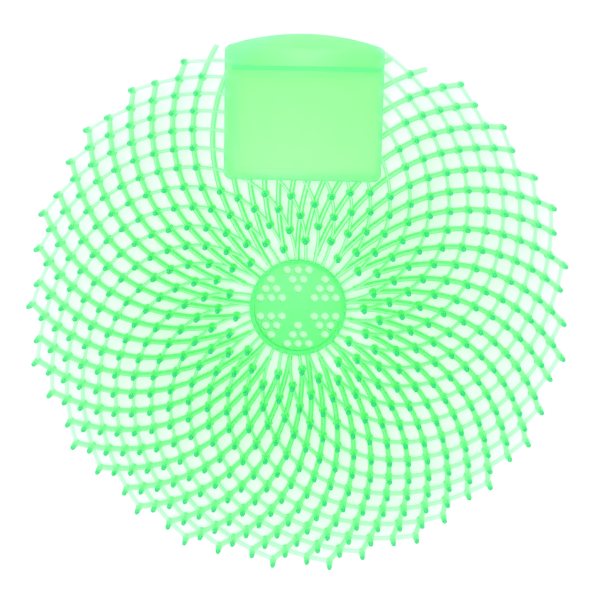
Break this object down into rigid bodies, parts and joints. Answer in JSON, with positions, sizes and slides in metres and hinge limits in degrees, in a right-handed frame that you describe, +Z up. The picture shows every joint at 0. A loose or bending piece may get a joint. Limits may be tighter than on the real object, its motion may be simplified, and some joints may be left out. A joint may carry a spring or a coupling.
{
  "type": "urinal deodorizer screen",
  "caption": "Round flexible screen of spiral ribs with an upright post on each crossing, a perforated hub and a smooth finger plate at its edge.",
  "frame": {"origin": "centre of the hub's underside, on the surface the screen lies on", "axes": "+Z up out of the posts, +Y from the hub towards the finger plate, +X to the right seen from above with the plate at the top"},
  "size_m": [0.1814, 0.1819, 0.008],
  "materials": {
    "green_soft_plastic": "translucent soft satin gloss"
  },
  "bodies": {
    "root": {"screen": "green_soft_plastic"}
  },
  "joints": []
}
